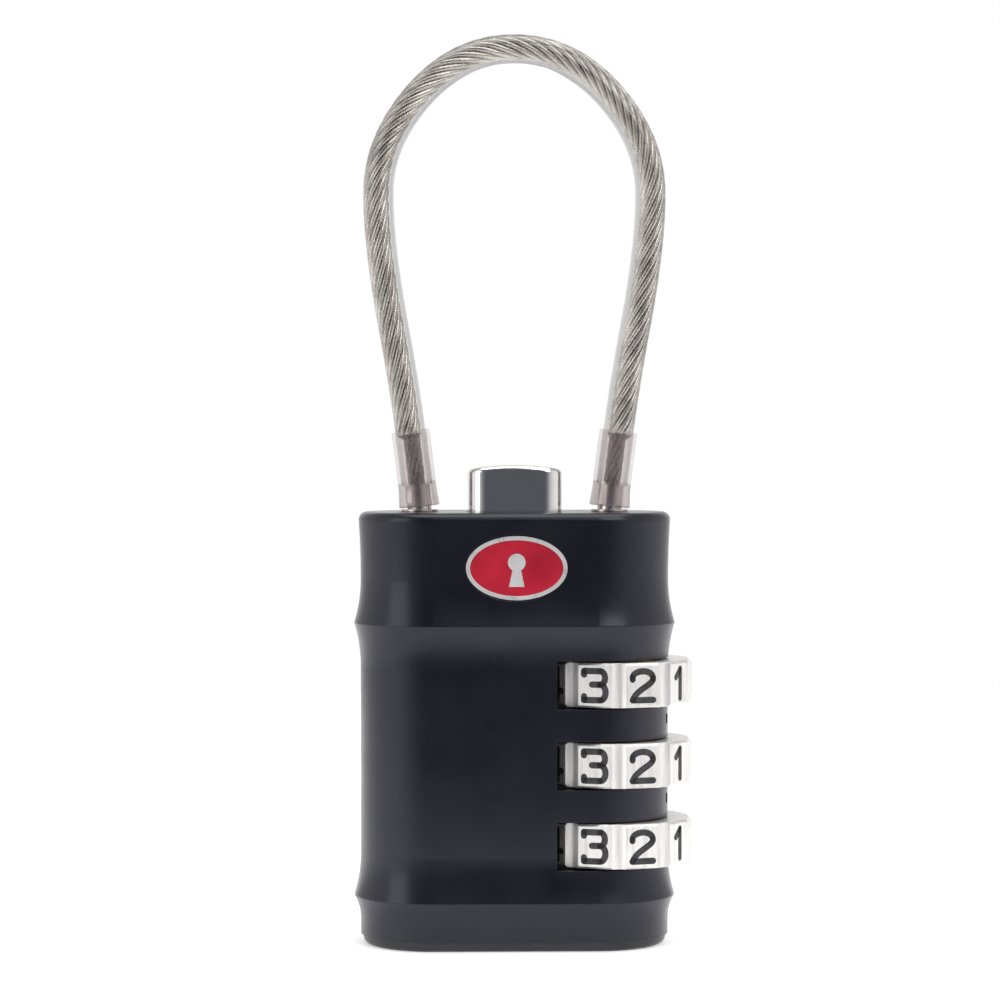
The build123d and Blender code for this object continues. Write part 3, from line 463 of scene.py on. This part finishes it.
def makeCable(values):
    line = readRoute(values["route"])
    fine = spaced(line, values["step"] * mm)
    strands = [ringSkin(strandTube(fine, values, k)) for k in range(-1, values["strands"])]
    rope = meshObject("wireRope", *joinMeshes(strands), materials["rope"])
    # painted shade: where the boots cover the rope it takes a darker colour; every strand has the same count
    # of faces
    perStrand = len(rope.data.polygons) // (values["strands"] + 1)
    covered = values["bootTop"] * mm
    rope.data.materials.append(materials["crimpedAndShaded"])
    for polygon in rope.data.polygons:
        ring = min((polygon.index % perStrand) // values["sides"], len(fine) - 1)
        if min(fine[ring][2], fine[-1][2] - fine[ring][2]) < covered:
            polygon.material_index = 1
    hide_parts("cable_rope")
    tubeLine = spaced(line, values["jacketStep"] * mm, values["jacketEnd"] * mm, values["jacketEnd"] * mm)
    tube = jacketTube(tubeLine, values["jacketRadius"] * mm, values["jacketSides"])
    jacket = meshObject("cableJacket", *tube, materials["vinyl"])
    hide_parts("cable_jacket")
    for piece in (rope, jacket):
        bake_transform(piece)
    return line


cableLine = makeCable(cable)

# clear boots over the two cable ends
boot = {
    "start": 1.15,  # along the route, just over the collar
    "end": 8.65,
    "foot": 2.0,
    "outer": 1.88,
    "bore": 1.58,
    "lowerBore": 1.27,
    "step": 3.3,
    "stepLength": 0.15,
    "flare": 2.0,
    "round": 0.12,
    "sides": 40,
}


def makeBoot(line, values, name, cadNode, body):
    def ringAt(s, radius):
        place, tangent, at = spaced(line, 1, s * mm, 0)[0]
        u, v = frameAt(tangent)
        return [place + (u * math.cos(a) + v * math.sin(a)) * radius * mm
                for a in (2 * math.pi * k / values["sides"] for k in range(values["sides"]))]

    start, end, soft = values["start"], values["end"], values["round"]

    def outerRadius(s):
        t = min(1, (s - start) / values["flare"])
        return values["foot"] + (values["outer"] - values["foot"]) * t * t * (3 - 2 * t)

    rings = []
    for k in range(5):
        a = math.pi / 2 * k / 4
        rings.append((start + soft - soft * math.cos(a), outerRadius(start) - soft + soft * math.sin(a)))
    for k in range(1, 16):
        s = start + soft + (end - start - 2 * soft) * k / 16
        rings.append((s, outerRadius(s)))
    for k in range(5):
        a = math.pi / 2 * k / 4
        rings.append((end - soft + soft * math.sin(a), values["outer"] - soft + soft * math.cos(a)))
    rings.append((end, values["bore"]))
    rings.append((values["step"] + values["stepLength"], values["bore"]))
    rings.append((values["step"], values["lowerBore"]))
    rings.append((start, values["lowerBore"]))
    skin = ringSkin([ringAt(s, r) for s, r in rings], closedLoop=True)
    obj = meshObject(name, *skin, materials["boot"])
    paintRings(obj, values["sides"], len(rings), materials["bootGrip"], lambda k: rings[k][0] < values["step"])
    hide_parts(cadNode)
    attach(obj, body)
    return obj


makeBoot(cableLine, boot, "fixedBoot", "fixed_sleeve", "lock_body")
makeBoot(cableLine[::-1], boot, "freeBoot", "free_sleeve", "free_end")
print("cable and boots made")

# digits: black strokes let into the flats of the dials
digits = {
    "height": 3.5,
    "width": 3.0,
    "stroke": 0.62,
    "flat": 7.5,  # axis to flat
    "sink": 0.02,
    "stand": 0.012,
    "drawnWidth": 0.86,  # half the size the strokes below are drawn at
    "drawnHeight": 0.88,
    "narrow": 0.97,
}
# each digit is strokes in a box from (-1, -1) to (1, 1): a line by its ends, an arc by its centre,
# two radii and two angles, a curve by four points
digitStrokes = {
    0: [("arc", 0, 0.42, 0.8, 0.46, 0, 180), ("line", -0.8, 0.42, -0.8, -0.42),
        ("arc", 0, -0.42, 0.8, 0.46, 180, 360), ("line", 0.8, -0.42, 0.8, 0.42)],
    1: [("line", -0.45, 0.38, 0.12, 0.86), ("line", 0.12, 0.86, 0.12, -0.88)],
    2: [("line", -0.78, 0.36, -0.78, 0.48), ("curve", -0.78, 0.48, -0.76, 0.94, 0.78, 1.02, 0.80, 0.40),
        ("curve", 0.80, 0.40, 0.80, 0.02, -0.50, -0.22, -0.78, -0.86), ("line", -0.78, -0.86, 0.82, -0.86)],
    3: [("line", -0.80, 0.64, -0.80, 0.86), ("line", -0.80, 0.86, 0.40, 0.86),
        ("arc", 0.40, 0.46, 0.36, 0.40, 90, -90),
        ("line", 0.40, 0.06, -0.20, 0.06), ("arc", 0.40, -0.40, 0.40, 0.46, 90, -90),
        ("line", 0.40, -0.86, -0.80, -0.86), ("line", -0.80, -0.86, -0.80, -0.64)],
    4: [("line", 0.35, -0.88, 0.35, 0.86), ("line", 0.35, 0.86, -0.82, -0.4),
        ("line", -0.82, -0.4, 0.85, -0.4)],
    5: [("line", 0.7, 0.86, -0.62, 0.86), ("line", -0.62, 0.86, -0.7, 0.12),
        ("arc", -0.05, -0.32, 0.8, 0.54, 140, -160)],
    6: [("curve", 0.55, 0.86, -0.2, 0.7, -0.78, 0.3, -0.78, -0.36), ("arc", 0, -0.36, 0.78, 0.5, 0, 360)],
    7: [("line", -0.78, 0.86, 0.78, 0.86), ("curve", 0.78, 0.86, 0.5, 0.4, 0.05, -0.1, -0.1, -0.88)],
    8: [("arc", 0, 0.45, 0.66, 0.42, 0, 360), ("arc", 0, -0.42, 0.8, 0.46, 0, 360)],
    9: [("arc", 0, 0.36, 0.78, 0.5, 0, 360), ("curve", 0.78, 0.36, 0.78, -0.3, 0.2, -0.7, -0.55, -0.86)],
}


def strokePoints(stroke):
    kind, v = stroke[0], stroke[1:]
    if kind == "line":
        return [(v[0] + (v[2] - v[0]) * t / 4, v[1] + (v[3] - v[1]) * t / 4) for t in range(5)]
    if kind == "arc":
        count = 24
        angles = [math.radians(v[4] + (v[5] - v[4]) * t / count) for t in range(count + 1)]
        return [(v[0] + v[2] * math.cos(a), v[1] + v[3] * math.sin(a)) for a in angles]
    out = []
    for k in range(17):
        t = k / 16
        a, b, c, d = (1 - t) ** 3, 3 * t * (1 - t) ** 2, 3 * t * t * (1 - t), t**3
        out.append((a * v[0] + b * v[2] + c * v[4] + d * v[6], a * v[1] + b * v[3] + c * v[5] + d * v[7]))
    return out


# a raised band with round ends along flat points, put in place by place()
def strokeMesh(points, half, low, high, bm, place):
    left, right = [], []
    count = len(points)
    for i, p in enumerate(points):
        a = points[max(0, i - 1)]
        b = points[min(count - 1, i + 1)]
        d = Vector((b[0] - a[0], b[1] - a[1]))
        if d.length < 1e-9:
            d = Vector((1, 0))
        d.normalize()
        n = Vector((-d.y, d.x)) * half
        left.append((p[0] + n.x, p[1] + n.y))
        right.append((p[0] - n.x, p[1] - n.y))
        if i == 0:
            first = d
        last = d

    def cap(centre, direction, sign):
        base = math.atan2(direction.y, direction.x) + (math.pi / 2) * sign
        return [(centre[0] + half * math.cos(base + math.pi * k / 8),
                 centre[1] + half * math.sin(base + math.pi * k / 8)) for k in range(1, 8)]

    start = cap(points[0], first, 1)
    end = cap(points[-1], last, -1)
    outline = right + end + left[::-1] + start
    top = [bm.verts.new(place(x, y, high)) for x, y in outline]
    foot = [bm.verts.new(place(x, y, low)) for x, y in outline]
    # the band is filled in strips so that a closed ring keeps its hole
    size = len(outline)
    r = len(right)
    for i in range(r - 1):
        j = size - len(start) - 1 - i
        bm.faces.new((top[i], top[i + 1], top[j - 1], top[j]))
    bm.faces.new([top[r - 1]] + top[r:r + len(end)] + [top[r + len(end)]])
    bm.faces.new([top[size - len(start) - 1]] + top[size - len(start):] + [top[0]])
    for i in range(size):
        k = (i + 1) % size
        bm.faces.new((foot[i], foot[k], top[k], top[i]))


def makeDigits(values, name, dialNode, body):
    low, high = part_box(dialNode)
    middleZ = (low[2] + high[2]) / 2
    axisX = high[0] - values["flat"] * mm
    bm = bmesh.new()
    for digit, strokes in digitStrokes.items():
        turn = -2 * math.pi * digit / 10
        normal = Vector((math.cos(turn), math.sin(turn), 0))
        across = Vector((-math.sin(turn), math.cos(turn), 0))
        half = values["stroke"] / 2
        sx = values["width"] / 2 - half
        sy = values["height"] / 2 - half

        def place(x, y, out):
            return (Vector((axisX, 0, middleZ)) + across * x * mm + Vector((0, 0, y * mm))
                    + normal * (values["flat"] + out) * mm)

        for stroke in strokes:
            flat = [(x / values["drawnWidth"] * sx * values["narrow"], y / values["drawnHeight"] * sy)
                    for x, y in strokePoints(stroke)]
            strokeMesh(flat, half, -values["sink"], values["stand"], bm, place)
    mesh = bpy.data.meshes.new(name)
    bmesh.ops.recalc_face_normals(bm, faces=bm.faces)
    bm.to_mesh(mesh)
    bm.free()
    obj = bpy.data.objects.new(name, mesh)
    bpy.context.scene.collection.objects.link(obj)
    obj.data.materials.append(materials["digit"])
    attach(obj, body)
    return obj


for level in ("top", "middle", "bottom"):
    makeDigits(digits, f"{level}Digits", f"dial_{level}", f"{level}_dial")
print("digits made")

# floor, world and lights
studio = {
    "floor": (-0.3, -0.085, 0.3, 0.3),  # x and y of two corners
    "floorColour": (0.90, 0.90, 0.90),
    "floorGlow": 0.42,
    # brightness of the room by direction: to the sides, below, behind and above; the brightest counts
    "sides": [(0.0, 0.10), (0.2, 0.12), (0.41, 0.27), (0.72, 0.66), (1.0, 0.90)],
    "below": [(0.09, 0.0), (0.16, 0.19), (0.23, 0.24), (0.56, 0.70)],
    "behind": [(0.44, 0.0), (0.60, 0.32), (0.86, 0.55), (0.965, 1.0)],
    "above": [(0.80, 0.0), (0.90, 0.95)],
}
lights = {
    "keyPanel": {"place": (0.22, -0.42, 0.42), "size": (0.34, 0.36), "power": 1.2},
    "leftPanel": {"place": (-0.45, -0.30, 0.22), "size": (0.30, 0.42), "power": 0.5},
    "topPanel": {"place": (0.02, -0.05, 0.60), "size": (0.50, 0.36), "power": 1.2},
}


def levelRamp(tree, socket, levels):
    ramp = tree.nodes.new("ShaderNodeValToRGB")
    stops = ramp.color_ramp.elements
    stops[1].position, stops[1].color = levels[-1][0], (levels[-1][1],) * 3 + (1,)
    stops[0].position, stops[0].color = levels[0][0], (levels[0][1],) * 3 + (1,)
    for position, level in levels[1:-1]:
        stops.new(position).color = (level,) * 3 + (1,)
    tree.links.new(socket, ramp.inputs["Fac"])
    return ramp.outputs["Color"]


def sumNode(tree, operation, first, second=None, value=None):
    made = tree.nodes.new("ShaderNodeMath")
    made.operation = operation
    tree.links.new(first, made.inputs[0])
    if second is not None:
        tree.links.new(second, made.inputs[1])
    elif value is not None:
        made.inputs[1].default_value = value
    return made.outputs[0]


def makeWorld(values):
    world = bpy.data.worlds.new("studioWorld")
    world.use_nodes = True
    bpy.context.scene.world = world
    tree = world.node_tree
    room = tree.nodes["Background"]
    place = tree.nodes.new("ShaderNodeTexCoord")
    split = tree.nodes.new("ShaderNodeSeparateXYZ")
    tree.links.new(place.outputs["Generated"], split.inputs["Vector"])
    x, y, z = (split.outputs[axis] for axis in "XYZ")
    sides = levelRamp(tree, sumNode(tree, "ABSOLUTE", x), values["sides"])
    below = levelRamp(tree, sumNode(tree, "MULTIPLY", z, value=-1.0), values["below"])
    half = sumNode(tree, "MULTIPLY", y, value=0.5)
    behind = levelRamp(tree, sumNode(tree, "ADD", half, value=0.5), values["behind"])
    above = levelRamp(tree, z, values["above"])
    low = sumNode(tree, "MAXIMUM", sides, below)
    high = sumNode(tree, "MAXIMUM", behind, above)
    tint = tree.nodes.new("ShaderNodeValToRGB")  # the dim parts of the room are a little blue
    stops = tint.color_ramp.elements
    stops[0].position, stops[0].color = 0.0, (0.0, 0.0, 0.004, 1)
    stops[1].position, stops[1].color = 1.0, (1.0, 1.0, 1.0, 1)
    stops.new(0.15).color = (0.142, 0.144, 0.172, 1)
    stops.new(0.45).color = (0.447, 0.448, 0.462, 1)
    tree.links.new(sumNode(tree, "MAXIMUM", low, high), tint.inputs["Fac"])
    tree.links.new(tint.outputs["Color"], room.inputs["Color"])
    plain = tree.nodes.new("ShaderNodeBackground")  # a plain white backdrop behind everything
    plain.inputs["Color"].default_value = (1, 1, 1, 1)
    path = tree.nodes.new("ShaderNodeLightPath")
    mix = tree.nodes.new("ShaderNodeMixShader")
    tree.links.new(path.outputs["Is Camera Ray"], mix.inputs[0])
    tree.links.new(room.outputs["Background"], mix.inputs[1])
    tree.links.new(plain.outputs["Background"], mix.inputs[2])
    tree.links.new(mix.outputs["Shader"], tree.nodes["World Output"].inputs["Surface"])


def makeFloor(values):
    ground = newMaterial("paleFloor", Base_Color=(*values["floorColour"], 1), Emission_Color=(1, 1, 1, 1),
                         Emission_Strength=values["floorGlow"])
    noiseInto(ground, 4, 2.0, 0.85, 0.95, "Roughness")
    x0, y0, x1, y1 = values["floor"]
    corners = [(x0, y0, 0), (x1, y0, 0), (x1, y1, 0), (x0, y1, 0)]
    floor = meshObject("floor", corners, [(0, 1, 2, 3)], ground, smooth=False)


def areaLight(name, values, aim=(0, 0, 0.04)):
    data = bpy.data.lights.new(name, "AREA")
    data.shape = "RECTANGLE"
    data.size, data.size_y = values["size"]
    data.energy = values["power"]
    obj = bpy.data.objects.new(name, data)
    bpy.context.scene.collection.objects.link(obj)
    obj.location = Vector(values["place"])
    obj.rotation_euler = (Vector(aim) - Vector(values["place"])).to_track_quat("-Z", "Y").to_euler()


bpy.context.scene.view_settings.view_transform = "Standard"
makeFloor(studio)
makeWorld(studio)
for name, values in lights.items():
    areaLight(name, values)

print("studio ready")
